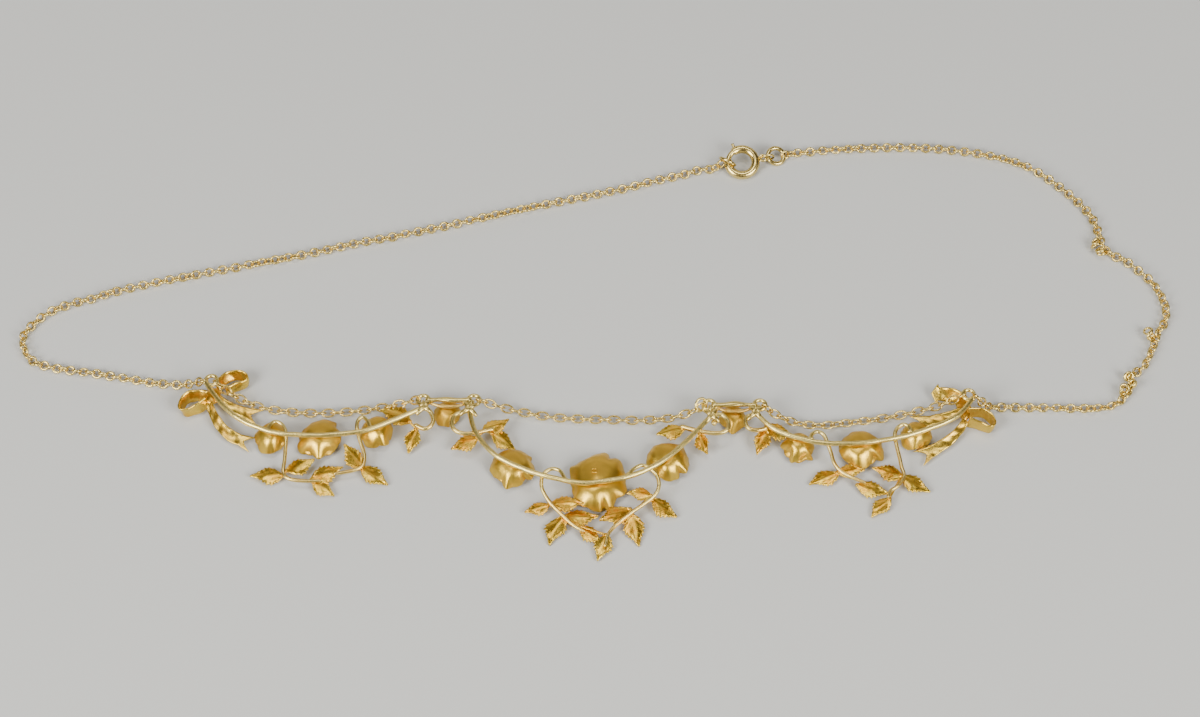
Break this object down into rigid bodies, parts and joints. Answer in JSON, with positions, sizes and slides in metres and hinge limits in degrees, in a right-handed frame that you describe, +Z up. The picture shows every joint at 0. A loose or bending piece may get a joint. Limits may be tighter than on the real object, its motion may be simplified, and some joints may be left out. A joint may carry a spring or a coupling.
{
  "type": "festoon necklace",
  "caption": "Gold festoon necklace laid face down: three flower swags with leaves and bows, bar links, swag chains, trace chain and bolt ring clasp.",
  "frame": {"origin": "on the surface, under the middle of the necklace's box", "axes": "+Z up from the surface, the necklace's back up; +X along the front panel towards its right end in this view; +Y from the front panel towards the clasp"},
  "size_m": [0.1862, 0.0818, 0.0044],
  "materials": {
    "wire_gold": "polished pale yellow gold wire with fine drawing lines",
    "flower_gold": "satin stamped gold, darker in the hollows",
    "leaf_gold": "stamped gold with warm solder stain and veins",
    "bow_gold": "flat gold ribbon with warm solder stain",
    "chain_gold": "polished pale yellow gold links",
    "clasp_gold": "polished pale yellow gold, lightly worn"
  },
  "bodies": {
    "necklace": {"left_frame": "wire_gold", "left_flower_outer": "flower_gold", "left_flower_middle": "flower_gold", "left_flower_inner": "flower_gold", "left_leaves_outer": "leaf_gold", "left_leaves_middle": "leaf_gold", "left_leaves_inner": "leaf_gold", "left_leaves_joint": "leaf_gold", "left_bow": "bow_gold", "left_swag_chain": "chain_gold", "left_bar": "wire_gold", "left_bar_flower": "flower_gold", "centre_frame": "wire_gold", "centre_flower_left": "flower_gold", "centre_flower_main": "flower_gold", "centre_flower_right": "flower_gold", "centre_leaves_left": "leaf_gold", "centre_leaves_low": "leaf_gold", "centre_leaves_right": "leaf_gold", "centre_leaves_joint_left": "leaf_gold", "centre_leaves_joint_right": "leaf_gold", "centre_swag_chain": "chain_gold", "right_bar": "wire_gold", "right_bar_flower": "flower_gold", "right_frame": "wire_gold", "right_flower_inner": "flower_gold", "right_flower_middle": "flower_gold", "right_flower_outer": "flower_gold", "right_leaves_left": "leaf_gold", "right_leaves_middle": "leaf_gold", "right_leaves_right": "leaf_gold", "right_leaves_joint": "leaf_gold", "right_bow": "bow_gold", "right_swag_chain": "chain_gold", "right_end_link": "wire_gold", "back_chain_left": "chain_gold", "back_chain_right": "chain_gold", "bolt_ring": "clasp_gold", "clasp_link": "clasp_gold", "chain_ring": "clasp_gold", "catch_ring": "clasp_gold"},
    "bolt": {"bolt": "clasp_gold"}
  },
  "joints": [
    {"name": "bolt_slide", "type": "hinge", "parent": "necklace", "child": "bolt", "pos_m": [0.0244, 0.0364, 0.00149], "axis": [0, -0.342, 0.9397], "range_deg": [-48, 0], "stiffness_Nm_per_rad": 0.0002}
  ]
}
